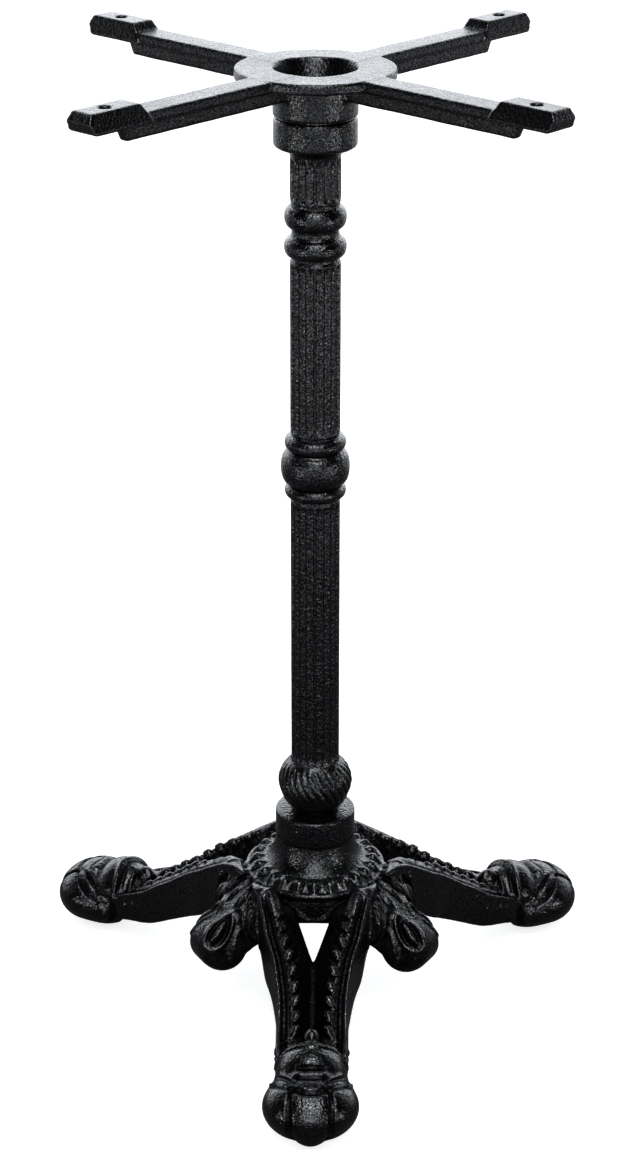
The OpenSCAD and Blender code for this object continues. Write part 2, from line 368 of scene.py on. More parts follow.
def lathe(profile, columns, relief=None):
    """A closed profile of (radius, height[, label]) points turned about Z.

    relief(radius, height, angle, label) gives how far each point moves outwards.
    """
    rows = len(profile)
    label = np.array([p[2] if len(p) > 2 else "" for p in profile])[:, None]
    radius = np.repeat(np.array([[p[0]] for p in profile], float), columns, 1)
    height = np.repeat(np.array([[p[1]] for p in profile], float), columns, 1)
    angle = np.repeat((np.arange(columns) * 2 * math.pi / columns)[None, :], rows, 0)
    if relief is not None:
        radius = radius + relief(radius, height, angle, label)
    verts = np.stack([radius * np.cos(angle), radius * np.sin(angle), height], 2)
    i = np.arange(rows)[:, None]
    j = np.arange(columns)[None, :]
    i_next, j_next = (i + 1) % rows, (j + 1) % columns
    quads = np.stack([i * columns + j, i * columns + j_next,
                      i_next * columns + j_next, i_next * columns + j], -1)
    return verts.reshape(-1, 3), quads.reshape(-1, 4)


# ------------------------------------------------------------------ materials
class Shader:
    """Builds the node tree of one material or world. Inputs take numbers or sockets."""

    def __init__(self, owner):
        owner.use_nodes = True
        self.owner = owner
        self.tree = owner.node_tree
        self.tree.nodes.clear()
        self.coords = self.add("ShaderNodeTexCoord").outputs

    def add(self, kind, inputs=None, **settings):
        node = self.tree.nodes.new(kind)
        for name, value in settings.items():
            setattr(node, name, value)
        for key, value in (inputs or {}).items():
            if isinstance(value, bpy.types.NodeSocket):
                self.tree.links.new(value, node.inputs[key])
            else:
                node.inputs[key].default_value = value
        return node

    def noise(self, scale, detail=2.0, roughness=0.5, stretch=None):
        vector = self.coords["Object"]
        if stretch:
            mapping = self.add("ShaderNodeMapping", {"Vector": vector, "Scale": stretch})
            vector = mapping.outputs[0]
        inputs = {"Scale": scale, "Detail": detail, "Roughness": roughness, "Vector": vector}
        return self.add("ShaderNodeTexNoise", inputs).outputs["Fac"]

    def ramp(self, source, stops):
        """A colour ramp of (position, (red, green, blue)) stops."""
        node = self.add("ShaderNodeValToRGB", {0: source})
        elements = node.color_ramp.elements
        while len(elements) < len(stops):
            elements.new(0.5)
        for element, (position, colour) in zip(elements, stops):
            element.position = position
            element.color = (*colour, 1)
        return node.outputs[0]

    def mask(self, source, black, white):
        return self.ramp(source, [(black, (0, 0, 0)), (white, (1, 1, 1))])

    def math(self, operation, *values, clamp=False):
        inputs = dict(enumerate(values))
        node = self.add("ShaderNodeMath", inputs, operation=operation, use_clamp=clamp)
        return node.outputs[0]

    def times(self, first, second):
        return self.math("MULTIPLY", first, second)

    def plus(self, first, second):
        return self.math("ADD", first, second)

    def map_range(self, value, low, high, to_low=0.0, to_high=1.0, kind="LINEAR"):
        inputs = dict(enumerate((value, low, high, to_low, to_high)))
        return self.add("ShaderNodeMapRange", inputs, interpolation_type=kind).outputs[0]

    def rise(self, value, low, high):
        return self.map_range(value, low, high, kind="SMOOTHSTEP")

    def fall(self, value, low, high):
        return self.math("SUBTRACT", 1.0, self.rise(value, low, high))

    def mix(self, amount, first, second):
        inputs = {0: amount, 6: first, 7: (*second, 1)}
        return self.add("ShaderNodeMix", inputs, data_type="RGBA").outputs[2]

    def bump(self, height, strength, distance):
        inputs = {"Strength": strength, "Distance": distance, "Height": height}
        return self.add("ShaderNodeBump", inputs).outputs[0]

    def finish(self, inputs, kind="ShaderNodeBsdfPrincipled", output="ShaderNodeOutputMaterial"):
        node = self.add(kind, inputs)
        self.add(output, {"Surface": node.outputs[0]})
        return self.owner


def black_iron(name, grain, roughness, painted_crease_shade=False):
    """Black enamel over a sand-cast face: grain, sparkle, soft sheen changes, rubbed edges.

    grain scales the bump; the last argument paints shade into the creases, dimming their reflection
    by the mesh's openness attribute.
    """
    shader = Shader(bpy.data.materials.new(name))
    peel = shader.noise(scale=520, detail=1.0)
    fine = shader.noise(scale=1900, detail=1.0)
    lumps = shader.noise(scale=210)
    broad = shader.noise(scale=26, detail=3.0, roughness=0.55)
    edges = shader.add("ShaderNodeNewGeometry").outputs["Pointiness"]
    worn = shader.times(shader.mask(edges, black=0.52, white=0.60),
                        shader.mask(shader.noise(scale=90, detail=3.0, roughness=0.6),
                                    black=0.42, white=0.66))
    colour = shader.ramp(broad, [(0.3, (0.0012, 0.0012, 0.0016)), (0.7, (0.0026, 0.0026, 0.0034))])
    worn_paleness = 0.35
    colour = shader.mix(shader.times(worn, worn_paleness), colour, (0.020, 0.020, 0.024))

    # how far each pattern moves the roughness
    broad_share, peel_share, worn_share = 0.16, 0.12, 0.06
    rough = shader.plus(shader.times(broad, broad_share), roughness - broad_share / 2)
    rough = shader.plus(rough, shader.times(peel, peel_share))
    rough = shader.math("SUBTRACT", rough, shader.times(worn, worn_share), clamp=True)

    sparkle = shader.map_range(shader.noise(scale=900, detail=1.0), low=0.38, high=0.64,
                               to_low=0.20, to_high=0.85)
    if painted_crease_shade:
        # painted shade: creases, and the legs' grooves and valley, reflect less by the openness
        # attribute
        openness = shader.add("ShaderNodeAttribute", attribute_name="openness").outputs["Fac"]
        shade = shader.map_range(openness, low=0.42, high=0.93, to_low=0.08, to_high=1.0,
                                 kind="SMOOTHSTEP")
        sparkle = shader.times(shade, sparkle)

    # heights of the three grains in the bump
    peel_height, fine_height, lump_height = 1.0, 0.22, 0.7
    height = shader.plus(shader.times(peel, peel_height), shader.times(fine, fine_height))
    height = shader.plus(height, shader.times(lumps, lump_height))
    return shader.finish({
        "Base Color": colour, "Roughness": rough, "IOR": 1.55, "Specular IOR Level": sparkle,
        "Normal": shader.bump(height, strength=1.0, distance=0.0011 * grain)})


def zinc(name):
    """Blotchy zinc plating with turning marks stretched round the axis."""
    shader = Shader(bpy.data.materials.new(name))
    blots = shader.noise(scale=160, detail=3.0, roughness=0.6)
    marks = shader.noise(scale=260, stretch=(1, 1, 9))
    lowest, spread = 0.24, 0.22   # of the roughness
    return shader.finish({
        "Base Color": shader.ramp(blots, [(0.3, (0.40, 0.41, 0.43)), (0.7, (0.60, 0.61, 0.62))]),
        "Metallic": 1.0,
        "Roughness": shader.plus(shader.times(blots, spread), lowest),
        "Normal": shader.bump(marks, strength=0.5, distance=0.00012)})


def plastic(name):
    """Finely textured black plastic with scuffs."""
    shader = Shader(bpy.data.materials.new(name))
    texture = shader.noise(scale=2400)
    scuffs = shader.noise(scale=140, detail=4.0, roughness=0.65)
    lowest, spread = 0.38, 0.25   # of the roughness
    return shader.finish({
        "Base Color": shader.ramp(scuffs, [(0.35, (0.010, 0.010, 0.010)),
                                           (0.75, (0.028, 0.028, 0.027))]),
        "Roughness": shader.plus(shader.times(scuffs, spread), lowest),
        "Normal": shader.bump(texture, strength=0.6, distance=0.00008)})


IRON = black_iron("cast_iron_black_enamel", grain=0.40, roughness=0.10, painted_crease_shade=True)
IRON_TOP = black_iron("cast_iron_black_enamel_spider", grain=0.42, roughness=0.20)
IRON_COLUMN = black_iron("cast_iron_black_enamel_column", grain=0.52, roughness=0.10)
ZINC = zinc("zinc_plated_steel")
PLASTIC = plastic("black_moulded_plastic")


# ------------------------------------------------------------------ top spider
ARM_UNDER, ARM_TOP = 706.5, 714.0
ARM_HALF, ARM_END = 11.0, 209.0             # half the width, distance of the tip
WEB_UNDER, WEB_HALF, WEB_END = 695.5, 3.5, 176.0
DISC_RADIUS, BOSS_RADIUS = 55.0, 29.1
PAD_START, PAD_END = 164.5, 214.0           # at the height of the arm's top
BOWL_RADIUS = 24.5
SOCKET_RADIUS, SOCKET_TOP = 22.1, 683.8     # recess that takes the column's spigot
SCREW_OUT, SCREW_RADIUS = 190.92, 4.1


def build_spider():
    sector = Sector((222, 70, 46), floor=678)
    out, across, z = sector.out, sector.across, sector.z
    radius = np.sqrt(out * out + across * across)

    def block(height, width, length):
        return smax(smax(height, width, 1.44), length, 1.44)

    # flange with a little draft, and the web under it
    sector.field = block(np.maximum(z - ARM_TOP, ARM_UNDER - z),
                         across - ARM_HALF + (z - ARM_UNDER) * 0.03, out - ARM_END)
    web = block(np.maximum(WEB_UNDER - z, z - 710),
                across - WEB_HALF - (z - WEB_UNDER) * 0.04,
                out - WEB_END - (z - WEB_UNDER) * 0.42)
    sector.join(web, 3.0)
    disc = smax(radius - DISC_RADIUS, np.maximum(z - ARM_TOP, ARM_UNDER - z), 1.4)
    sector.join(disc, 0.8)
    boss = smax(radius - BOSS_RADIUS, np.maximum(z - 712, 681.6 - z), 1.0)
    sector.join(boss, 3.0)
    # pad with sloping ends and sides
    pad = overlap(PAD_START - out + (z - ARM_TOP) * 0.667,
                  out - PAD_END + (z - ARM_TOP) * 0.583,
                  across - ARM_HALF + (z - ARM_TOP) * 0.3,
                  out - PAD_END + (ARM_TOP - z) * 0.53)
    pad = smax(pad, np.maximum(z - TABLETOP, ARM_UNDER - z), 1.0)
    sector.join(pad, 1.0)
    # bowl, rod hole, socket underneath and screw hole
    bowl_wall = BOWL_RADIUS + np.clip((z - 700) * 0.307, 0, 4.3)
    sector.cut(np.maximum(radius - bowl_wall, BOWL_FLOOR - z), 1.3)
    sector.cut(np.maximum(radius - ROD_HOLE, z - 692))
    sector.cut(np.maximum(radius - SOCKET_RADIUS, z - SOCKET_TOP))
    sector.cut(np.sqrt((out - SCREW_OUT) ** 2 + across * across) - SCREW_RADIUS, 0.8)

    grid = unfold(sector, folds=4, first=0.0, cell=1.0,
                  low=(-216, -216, 679.5), high=(217, 217, 722.5))
    verts, quads = surface(*grid)
    # slow casting unevenness, away from the pads' tops and the boss's foot
    x, y, z = verts.T
    wave = 0.10 * (np.sin(x * 0.11 + 1.3) * np.sin(y * 0.093 + z * 0.05)
                   + 0.6 * np.sin(x * 0.27 - y * 0.21))
    verts[:, 2] += wave * ((z < 719.0) & (z > 683.0))
    return to_object("top_spider_casting", verts, quads, turn=math.radians(45),
                     triangles=190000)


# ------------------------------------------------------------------ column
# (height, radius) up the gadrooned bulb
BULB = [
    (158.2, 18.4), (160, 21.0), (161.5, 22.3), (164, 23.7), (168, 25.1), (171, 26.1),
    (174.5, 26.95), (178, 27.15), (181, 26.9), (184.5, 25.7), (188, 24.2), (191, 22.1),
    (193.4, 19.6)]
# heights over which the flutes begin and end, for each fluted length
FLUTE_ENDS = [
    (196.2, 200.5, 398.0, 402.3), (454.2, 458.5, 574.5, 578.8), (622.4, 626.5, 649.0, 653.2)]
FLUTES, FLUTE_DEPTH = 20, 1.35
COLUMN_BORE = 11.5


def torus(middle, neck, belly, half_height, count):
    """Half an ellipse of profile points, swelling from the neck radius to the belly's."""
    return [(neck + (belly - neck) * math.cos(a), middle + half_height * math.sin(a))
            for a in np.linspace(-math.pi / 2, math.pi / 2, count)]


def fluted(radius, foot, rows, head):
    return [(radius, z, "flute") for z in foot + list(np.arange(*rows)) + head]


def bulb():
    heights, radii = zip(*BULB)
    fine = np.linspace(heights[0], heights[-1], 46)
    smooth = np.interp(fine, heights, radii)
    relax(smooth, 3)
    return [(radius, z, "gadroon") for radius, z in zip(smooth, fine)]


def column_relief(radius, height, angle, label):
    across = ((angle * FLUTES / (2 * math.pi)) % 1.0) - 0.5
    fade = sum(step(height, start, full) * (1 - step(height, ending, end))
               for start, full, ending, end in FLUTE_ENDS)
    flute = np.clip(1 - (across / 0.42) ** 2, 0, None) ** 0.7
    # twisted gadroons on the bulb, running out below
    twisted = angle + 0.021 * (height - 176.0)
    lobe = np.abs(np.cos(twisted * 13)) ** 0.75
    swell = 0.35 + 1.15 * step(height, 166.0, 176.0) * (1 - step(height, 189.0, 193.6))
    swell *= step(height, 158.6, 163.0) * (1 - step(height, 191.6, 193.4))
    uneven = 0.05 * np.sin(angle * 3 + height * 0.05) * np.sin(height * 0.11)
    return (np.where(label == "gadroon", swell * (lobe - 0.72), 0)
            - np.where(label == "flute", FLUTE_DEPTH * flute * fade, 0)
            + np.where(radius > 15.9, uneven, 0))


def build_column():
    # up the outside, then down the bore
    profile = [(COLUMN_BORE, 144.4), (15.4, 144.4), (16.0, 145.0), (16.0, 153.9)]
    profile += [(17.4, 154.0), (17.8, 154.4), (17.8, 157.6)]
    profile += bulb()
    profile += [(18.4, 194.3), (17.9, 195.0), (17.7, 196.0)]
    profile += fluted(17.65, [197, 198, 199, 200, 201, 202, 204], (212, 392, 9.0),
                      [396, 397.5, 399, 400, 401, 402])
    profile += [(17.1, 403.2), (17.2, 404.6), (18.6, 405.0)]
    profile += torus(410.0, 18.4, 21.9, 4.6, 12)
    profile += [(19.6, 415.2), (20.4, 416.0)]
    profile += torus(428.0, 20.6, 24.6, 11.2, 26)
    profile += [(20.4, 440.0), (19.6, 440.8)]
    profile += torus(446.2, 18.4, 21.9, 4.9, 12)
    profile += [(17.2, 451.6), (17.1, 453.0)]
    profile += fluted(17.65, [454, 455, 456, 457, 458.5, 460], (468, 570, 9.0),
                      [572, 574, 575.5, 577, 578, 579])
    profile += [(16.6, 580.4), (16.6, 582.0), (17.4, 582.6)]
    profile += torus(589.8, 17.4, 21.7, 6.9, 14)
    profile += [(16.8, 597.8), (16.5, 600.4), (16.8, 602.2)]
    profile += torus(611.0, 17.2, 21.6, 7.7, 14)
    profile += [(17.0, 620.0), (17.2, 621.4)]
    profile += fluted(17.55, [622.4, 623.4, 624.4, 625.6, 627, 630], (634, 650, 5.0),
                      [650, 651, 652, 653])
    profile += [
        (17.6, 654.2), (18.4, 655.8), (20.6, 657.4), (23.6, 658.8), (26.4, 659.8),
        (28.0, 660.9), (28.7, 662.0), (28.85, 663.2), (28.85, 668), (28.8, 672), (28.75, 676),
        (28.7, 678.6), (28.4, 679.8), (27.6, 680.35), (26.8, 680.4), (26.6, 680.6),
        (26.6, 681.55), (22.0, 681.6), (22.0, 682.9), (21.5, 683.35), (12.0, 683.35),
        (COLUMN_BORE, 682.8)]
    profile += [(COLUMN_BORE, z) for z in np.linspace(676, 150, 40)]
    verts, quads = lathe(profile, 260, column_relief)
    return to_object("column_casting", verts, quads, turn=TURN)


# ------------------------------------------------------------------ paw base
LEG_CELLS = 240     # length of the sector out along a leg


def curve(points, soft=2.5):
    """A smooth curve through (out, value) points, one value per millimetre along a leg."""
    pad = 30
    values = np.interp(np.arange(-pad, LEG_CELLS + pad), *zip(*points))
    reach = np.arange(-12, 13)
    weights = np.exp(-0.5 * (reach / soft) ** 2)
    smooth = np.convolve(values, weights / weights.sum(), mode="same")
    return smooth[pad:pad + LEG_CELLS].astype(f4)


# half the leg's width, its top and its underside
LEG_HALF = curve([
    (36, 48), (42, 47.5), (48, 46), (54, 43.5), (60, 41.5), (70, 39.0), (80, 37.0), (86, 35.6),
    (92, 32.8), (100, 30.4), (107, 28.9), (120, 26.6), (130, 26.0), (168, 26.0), (186, 25.0),
    (240, 24)], 3.0)
LEG_TOP = curve([
    (30, 110), (46, 111.5), (50, 111.5), (55, 110), (62, 106), (70, 101), (82, 93), (97, 83.5),
    (107, 76), (117, 68.3), (130, 60), (142, 51), (152, 46.5), (162, 42.5), (172, 38), (190, 30),
    (240, 12)], 2.2)
LEG_LOW = curve([
    (20, 76), (38, 72), (52, 68.5), (66, 64), (81, 53), (97, 44), (109, 37.3), (125, 28.6),
    (136, 23.4), (146, 21.4), (156, 20.6), (166, 18.5), (176, 16), (200, 14), (240, 14)])
# height of the mould seam along the side
LEG_SEAM = (LEG_TOP + LEG_LOW) * 0.5 - curve([(0, 6), (60, 6), (100, 3), (140, -1), (240, -1)])
VALLEY_DEPTH = curve([
    (0, 26), (60, 24), (76, 18), (92, 13.0), (110, 11.8), (140, 11.2), (160, 6.0), (240, 4.0)])

# The line tables below hold (blend, lift, stations), as Sector.trace takes them.

# lines on each scallop; stations are (along, in from the side, below the top, bead radius)
SCALLOP_LINES = [
    (0.5, 0.5, [(5.4, 13.4, 2.0, 0.7), (0.2, 15.6, 2.4, 1.2), (-5.6, 18.6, 5, 0.7)]),
    (0.5, 0.5, [(4.2, 16.4, 5.0, 0.6), (-0.6, 18.6, 6.0, 1.1), (-5.6, 21.2, 8, 0.6)]),
    (0.5, None, [(7.6, 13.8, 2.5, 0.8), (2.6, 16.4, 4, 1.3), (-2.8, 19.6, 7, 0.8)]),
    (0.4, None, [(4.8, 14.9, 3.4, 0.5), (-0.2, 17.2, 4.4, 0.9), (-5.4, 20.0, 7, 0.5)])]

# (radius, height) outlines of the hub and of the hollow inside it
HUB_OUTLINE = [(0, 154), (29.2, 154), (29.6, 153.4), (29.6, 133.4), (29.0, 132.8)]
HUB_OUTLINE += bezier((29.3, 132.4), (29.9, 126.5), (31.2, 119.5), (36.4, 113.6), 10)
HUB_OUTLINE += [
    (38.0, 112.4), (40.5, 112.2), (44.5, 110.4), (48.6, 106.0), (50.0, 103.6), (51.6, 103.6),
    (52.0, 102.8), (52.0, 83), (0, 83)]
HUB_HOLLOW = [
    (0, 60), (44, 60), (44, 95), (30, 103), (26, 109), (26, HUB_CEILING), (0, HUB_CEILING)]
# (radius, height, bead radius) stations of a gadroon and of the groove between two
GADROON = [(38.8, 110.8, 2.4), (43.4, 110.3, 3.9), (47.2, 106.2, 2.9)]
GADROON_GAP = [(39.0, 113.4, 0.5), (44, 111.6, 1.0), (48.4, 107.2, 0.5)]

# folds round the end of a bar, where it leaves the hub
SHOULDER_LINES = [
    (1.0, 0.3, [(46.0, 31, 109, 1.2), (53, 36.5, 106, 1.9), (59, 41.0, 97, 1.9),
                (61.5, 43.0, 84, 1.7), (66, 41.5, 70, 1.2)]),
    (0.9, None, [(44.0, 33.5, 105, 0.8), (51, 39.5, 100, 1.5), (56.5, 44.5, 90, 1.5),
                 (58, 47, 76, 0.9)]),
    (0.9, 0.3, [(42.5, 33, 106.5, 1.0), (48, 42, 99, 1.5), (52.5, 48.5, 86, 1.5),
                (52.0, 50.5, 72, 1.2)])]

# The leaf lies between two legs; its places are measured out along the plane midway
# between them and across from that plane.
LEAF_OUTLINE = [
    (44, 104), (54, 103.0), (64, 98), (76, 88), (86, 79), (80, 58), (66, 57), (52, 64), (44, 74)]
LEAF_LINES = [
    # folds over the top of the leaf
    (1.6, 0.3, [(51, 4.0, 104, 0.8), (60, 4.5, 102, 1.6), (68, 5, 96, 1.7), (73, 5.5, 92, 0.8)]),
    (1.2, 0.7, [(51, 14, 103.0, 0.9), (60, 15.0, 99, 1.8), (67, 15.5, 94, 1.9),
                (71, 15.5, 91, 1.0)]),
    (1.4, None, [(53, 9.5, 104, 0.8), (62, 10.0, 100, 1.5), (71, 10.4, 93, 0.9)]),
    # thin lip where the leaf turns down, running on along the side of the scroll
    (0.7, 0.7, [(56, 20.0, 97, 0.8), (64, 18.6, 94, 1.3), (70.5, 16.8, 91, 1.5),
                (72.5, 19.0, 85, 1.4), (70.5, 20.2, 77, 1.3), (67.5, 20.4, 69, 1.2),
                (65, 20.2, 61, 0.8)]),
    (0.9, None, [(66.5, 20.5, 88, 0.9), (66.6, 20.8, 80, 1.8), (64.6, 21.0, 72, 1.1)]),
    # the oval on the scroll: rim, groove and the smooth boss inside it
    (0.7, 0.35, [(76.5, 9.5, 88.5, 1.4), (77.0, 13.5, 86.5, 1.4), (79.5, 16.5, 80, 1.4),
                 (83.5, 17.0, 72, 1.4), (89.0, 16.0, 65.5, 1.4), (96.0, 13.5, 62.5, 1.4),
                 (101.0, 10.0, 67, 1.4), (98.5, 7.2, 76, 1.4), (90.0, 5.6, 83, 1.4),
                 (81.5, 6.2, 87, 1.4), (76.5, 9.5, 88.5, 1.4)]),
    (1.2, None, [(79.5, 10.0, 86, 1.5), (80.5, 13.0, 83.0, 1.5), (82.8, 14.6, 77, 1.5),
                 (86.8, 14.6, 71, 1.5), (91.5, 13.8, 67.0, 1.5), (96.0, 12.0, 67, 1.5),
                 (97.0, 9.8, 72, 1.5), (91.5, 8.4, 79, 1.5), (85.0, 8.2, 84, 1.5),
                 (79.5, 10.0, 86, 1.5)]),
    (1.2, 0.6, [(83.0, 11.2, 82.5, 1.2), (87.0, 11.8, 78.0, 2.3), (91.5, 12.0, 73.5, 2.4),
                (94.0, 11.4, 70.5, 1.4)]),
    # the smooth band below it
    (2.2, -1.2, [(74, 17.5, 79, 2.2), (77.5, 18.2, 72, 3.4), (79.5, 18.4, 63, 4.0),
                 (80, 17.0, 54, 3.0)])]

# (centre, radii, blend) of the swells that make the paw
PAW_BALLS = [
    ((203.0, 0, 24.5), (29.5, 34.2, 23.0), 2.0),
    ((189, 0, 22), (26, 31.5, 20.0), 4.0),
    ((178, 0, 32), (22.5, 25.5, 24.8), 2.5),
    ((158, 0, 30), (17, 22, 17), 4.0),
    ((155.5, 0, 46.5), (8.6, 6.4, 10.8), 0.8)]
# the middle toe and the two knuckle ridges on it
TOE_STROKES = [
    [(206, 0, 34.5, 12.0), (214, 0, 27.0, 13.6), (217.5, 0, 18, 14.2)],
    [(199.0, -9, 44.2, 5.8), (199.0, 8, 44.2, 5.8), (198, 13, 41, 4.5)],
    [(208.0, -9, 38.4, 6.6), (208.0, 8, 38.4, 6.6), (206, 13, 36, 5.0)]]
PAW_LINES = [
    # grooves behind the knuckle ridges
    (1.0, None, [(194.4, -4, 52.6, 1.9), (194.4, 5, 52.4, 1.9), (193.4, 9.5, 50.8, 1.6),
                 (191.0, 13.5, 48.5, 0.7)]),
    (1.0, None, [(203.6, -4, 49.0, 1.8), (203.6, 5, 48.8, 1.8), (202.4, 9.5, 47.4, 1.5),
                 (200.0, 13.5, 45.6, 0.7)]),
    # the crease behind the toe cap, running back along the flank, and the folds behind it
    (0.6, None, [(216.0, -4, 42.6, 2.3), (215.6, 6, 42.6, 2.3), (211.5, 13, 43.0, 2.4),
                 (206.5, 18.5, 41.6, 2.5), (200.5, 24.0, 38.6, 2.6), (193, 28.5, 34.6, 2.3),
                 (182, 30.5, 31.5, 1.2)]),
    (0.6, 0.5, [(212.0, 11.0, 42.0, 0.9), (206.5, 15.6, 40.4, 1.4), (200.0, 20.8, 38.2, 1.4),
                (192, 25.2, 34.0, 0.9)]),
    (0.5, None, [(209.5, 10.6, 44.4, 0.8), (203.0, 14.0, 43.6, 1.3), (197.0, 18.6, 41.5, 1.3),
                 (189, 23.0, 37.5, 0.8)]),
    (0.6, 0.5, [(205.5, 11.0, 46.2, 0.9), (200.0, 13.6, 45.5, 1.3), (194.0, 17.6, 43.0, 1.3),
                (187, 21.0, 39.5, 0.9)]),
    # groove beside the middle toe
    (2.4, None, [(213.5, 13.0, 39.5, 1.0), (221.0, 13.4, 34.5, 1.7), (227.0, 13.8, 26.0, 2.1),
                 (228.6, 14.4, 15.0, 2.4), (226, 15.0, 4, 2.4)]),
    # hood over the ball of the foot, and cuff lines behind it
    (0.8, 0.5, [(177.5, -4, 57.6, 1.6), (176.8, 4, 57.3, 1.6), (174.6, 12, 54.0, 1.7),
                (172.4, 19, 47.5, 1.7), (171.0, 24.0, 38.5, 1.6), (170.5, 26.0, 30.5, 1.0)]),
    (0.8, None, [(172.0, -4, 56.6, 1.5), (171.2, 4, 56.4, 1.5), (169.0, 12, 53.4, 1.6),
                 (167.0, 19.0, 47.0, 1.5), (166.0, 23.6, 40.0, 0.9)]),
    (0.9, 0.5, [(165.5, -4, 52.4, 1.4), (164.5, 5, 51.4, 1.4), (162.0, 13, 48.0, 1.5),
                (160.0, 20, 42.0, 1.4), (159.0, 25.0, 34.0, 0.9)]),
    (0.7, 0.5, [(153.5, 17.0, 46.5, 0.9), (153.0, 24.5, 42.5, 1.3), (152.5, 26.0, 34.5, 0.9)]),
    # hollow below the ball of the foot
    (1.4, None, [(171.5, 28.5, 30.0, 2.0), (170.0, 28.5, 20.0, 2.6), (169.0, 27.5, 8.0, 2.6)])]
# ridge in front of that hollow
PAW_NOTCH_LINE = (
    0.8, 0.5, [(182.0, 30.5, 30.0, 0.9), (178.0, 30.4, 25.5, 1.2), (175.6, 30.2, 17.0, 0.9)])


def add_bars(sector, radius):
    """Each leg is two bars with a rim, a groove and an inner ridge, and a valley between."""
    out, across = sector.out[:, :, 0], sector.across[:, :, 0]
    half, top = LEG_HALF[:, None], LEG_TOP[:, None]
    inset = half - across       # distance in from the leg's side
    relief = -3.2 * step(inset, 2.9, 4.3) * (1 - step(inset, 7.4, 8.8))
    relief += 0.5 * np.exp(-((inset - 11.0) / 1.8) ** 2)
    relief -= 1.6 * step(inset, 12.4, 14.4)
    slope_start = half - 15.4
    run = np.clip((slope_start - across) / np.maximum(slope_start - 1.4, 1.0), 0, 1.2)
    sink = np.where(run > 0, 1 - (1 - np.clip(run, 0, 1)) ** 1.2, 0)
    relief -= VALLEY_DEPTH[:, None] * sink
    relief += (0.7 * np.exp(-(across / 0.8) ** 2)
               * step(out, 110, 116) * (1 - step(out, 146, 150)))
    fade = step(out, 44, 60) * (1 - step(out, 158, 170))
    shape = top + relief * (fade * (inset < 11) + (inset >= 11) * (1 - step(out, 150, 162)))
    slope_out, slope_across = np.gradient(shape)
    steep = np.sqrt(1 + np.clip(slope_out, -1.5, 1.5) ** 2 + np.clip(slope_across, -1.8, 1.8) ** 2)

    z = sector.z
    upper = (z - shape[:, :, None]) / steep[:, :, None]
    lower = ((LEG_LOW[:, None, None] - z)
             / np.sqrt(1 + np.gradient(LEG_LOW) ** 2)[:, None, None])
    from_seam = np.abs(z - LEG_SEAM[:, None, None])
    side = sector.across - half[:, :, None] + 0.030 * from_seam
    side = ((side - 0.45 * np.exp(-(from_seam / 0.9) ** 2))
            / np.sqrt(1 + np.gradient(LEG_HALF) ** 2)[:, None, None])
    bars = smax(smax(upper, side, 1.6), lower, 2.2)
    bars = smax(bars, sector.out - 176.0, 4.0)
    # the bars stop outside the hub's rim, with a rounded shoulder above it
    bars = smax(bars, 52.4 - radius - np.clip(103.0 - z, 0, 40) * 0.9, 12.0)
    sector.field = np.minimum(sector.field, bars)


def add_scallops(sector):
    """Leaf scallops along the inner ridge, each a bead with lines leaning in and back."""
    starts = [68.0 + i * 9.6 for i in range(9)]
    for i, start in enumerate(starts):
        half, top = LEG_HALF[int(start)], LEG_TOP[int(start)]
        grow = 0.6 if i < 2 else (0.85 if i == 2 else 1.0)
        rise = 1.5 if i > 1 else 0.2
        sector.stroke([(start + 3.6, half - 13.2, top - 2.2, 2.4 * grow),
                       (start - 0.5, half - 14.8, top - 1.2 + rise, 3.3 * grow),
                       (start - 5.5, half - 17.6, top - 4.0, 2.0 * grow)], 0.9)
    for start in starts:
        half, top = LEG_HALF[int(start)], LEG_TOP[int(start)]
        for blend, lift, stations in SCALLOP_LINES:
            sector.trace(blend, lift, [(start + along, half - inset, top - drop, bead)
                                       for along, inset, drop, bead in stations])


def add_hub(sector, radius):
    def spoke(degrees, stations):
        a = math.radians(degrees)
        return [(r * math.cos(a), r * math.sin(a), z, bead) for r, z, bead in stations]

    def hoop(hoop_radius, height, bead):
        return np.sqrt((radius - hoop_radius) ** 2 + (sector.z - height) ** 2) - bead

    sector.join(sector.swept(HUB_OUTLINE, radius, cells=300, per_mm=2), 2.0)
    for i in range(5):
        sector.stroke(spoke(15 * i, GADROON), 0.6)
        sector.stroke(spoke(15 * i + 7.5, GADROON_GAP), 0.5, cut=True)
    # smooth rim round the gadroons, groove round the neck, groove under the rim
    sector.join(hoop(50.7, 104.6, 2.1), 0.7)
    sector.cut(hoop(29.9, 132.5, 1.0), 0.5)
    sector.cut(hoop(52.2, 100.8, 0.9), 0.5)


def add_shoulder(sector):
    sector.stroke([(47, 31, 104.0, 4.2), (56, 31.5, 104.5, 4.6), (66, 30.5, 99.0, 3.2)], 4.0)
    sector.ball((52.0, 43.5, 83), (8.5, 7.6, 13.0), 2.0)
    for line in SHOULDER_LINES:
        sector.trace(*line)


def add_leaf(sector):
    """A scrolled leaf between two legs."""
    cos60, sin60 = 0.5, math.sqrt(3) / 2
    z = sector.z
    leaf_out = sector.out * cos60 + sector.across * sin60
    leaf_across = np.abs(sector.out * sin60 - sector.across * cos60)
    # the scroll is a drum with soft shoulders; the leaf runs up from it to the hub's rim
    flank = (leaf_across - 18.2 + 0.08 * (leaf_out - 76) + 0.20 * (z - 60)) / 1.03
    drum = smax(np.sqrt((leaf_out - 83.6) ** 2 + (z - 62.4) ** 2) - 19.5, flank, 12.0)
    sector.join(drum, 3.0)
    slab = sector.swept(LEAF_OUTLINE, leaf_out, cells=LEG_CELLS + 40, per_mm=1)
    flank = leaf_across - 22.5 + 0.25 * (leaf_out - 50) + 0.12 * (z - 76)
    sector.join(smax(slab, flank, 7.0), 4.0)
    for blend, lift, stations in LEAF_LINES:
        sector.trace(blend, lift, [
            (out * cos60 + across * sin60, out * sin60 - across * cos60, height, bead)
            for out, across, height, bead in stations])


